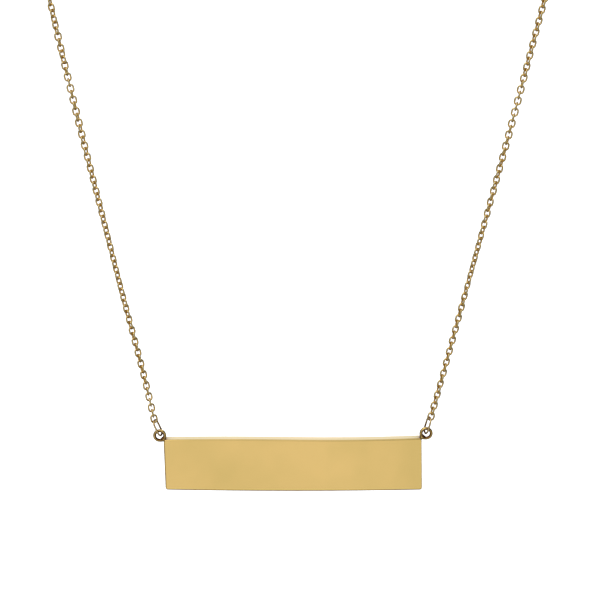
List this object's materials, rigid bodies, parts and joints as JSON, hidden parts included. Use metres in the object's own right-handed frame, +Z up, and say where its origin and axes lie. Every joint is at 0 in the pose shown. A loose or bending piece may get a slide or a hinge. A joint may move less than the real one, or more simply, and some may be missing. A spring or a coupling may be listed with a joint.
{
  "type": "nameplate necklace",
  "caption": "Fine cable-chain necklace with a blank rectangular bar hung from rings soldered to its upper corners, closed at the nape by a plain ring clasp.",
  "frame": {"origin": "the nape, on the neck's side of the clasp, where the necklace rests when worn", "axes": "+X to the viewer's right, +Y to the back of the neck, +Z up"},
  "size_m": [0.1008, 0.0811, 0.1483],
  "materials": {
    "polished_gold": "polished yellow gold with fine handling marks",
    "gold_wire": "polished yellow gold wire",
    "gold_chain": "polished pale yellow gold cable links"
  },
  "bodies": {
    "necklace": {"end_link_left": "gold_wire", "end_link_right": "gold_wire", "chain_left": "gold_chain", "chain_right": "gold_chain", "clasp_link_left": "gold_wire", "clasp_link_right": "gold_wire", "clasp": "polished_gold"},
    "plate": {"nameplate": "polished_gold"}
  },
  "joints": [
    {"name": "plate_swing", "type": "hinge", "parent": "necklace", "child": "plate", "pos_m": [-0.01651, -0.078, -0.1379], "axis": [1, 0, 0.0091], "range_deg": [-90, 90]}
  ]
}
